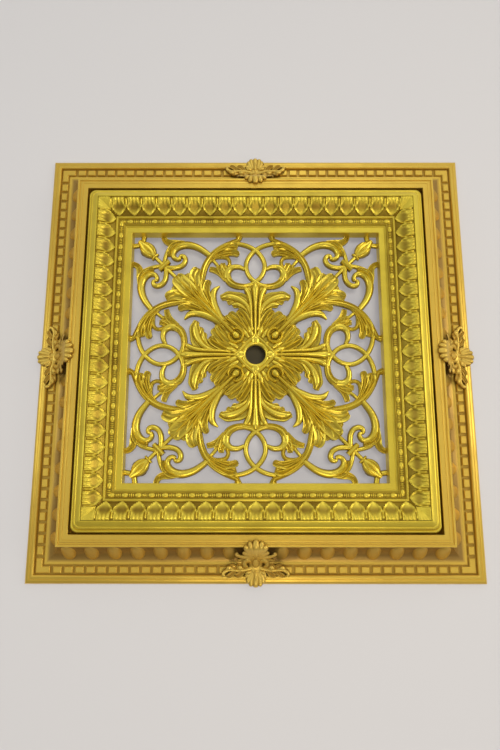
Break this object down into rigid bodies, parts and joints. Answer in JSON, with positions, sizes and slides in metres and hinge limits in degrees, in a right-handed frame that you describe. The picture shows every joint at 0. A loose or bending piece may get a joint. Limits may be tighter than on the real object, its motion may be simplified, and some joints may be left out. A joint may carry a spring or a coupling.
{
  "type": "decorative ceiling panel",
  "caption": "Square coffered ceiling panel in gilded plastic: coved frame with toothed band and leaf clasps round a raised border and pierced acanthus scrollwork with a lamp hole.",
  "frame": {"origin": "centre of the bounding box, on the plane the panel lies on, which is also the face that meets the ceiling", "axes": "+Z out of the decorated face, X and Y along the sides"},
  "size_m": [0.78, 0.78, 0.0744],
  "materials": {
    "frame_gold": "warm gold metallic paint, satin",
    "clasp_gold": "dull gold metallic paint with brown recesses",
    "panel_gold": "lemon gold metallic paint, glossy on the scrollwork"
  },
  "bodies": {
    "root": {"frame_corner_front_left": "frame_gold", "frame_corner_front_right": "frame_gold", "frame_corner_back_right": "frame_gold", "frame_corner_back_left": "frame_gold", "clasp_front": "clasp_gold", "clasp_right": "clasp_gold", "clasp_back": "clasp_gold", "clasp_left": "clasp_gold", "centre_panel": "panel_gold"}
  },
  "joints": []
}
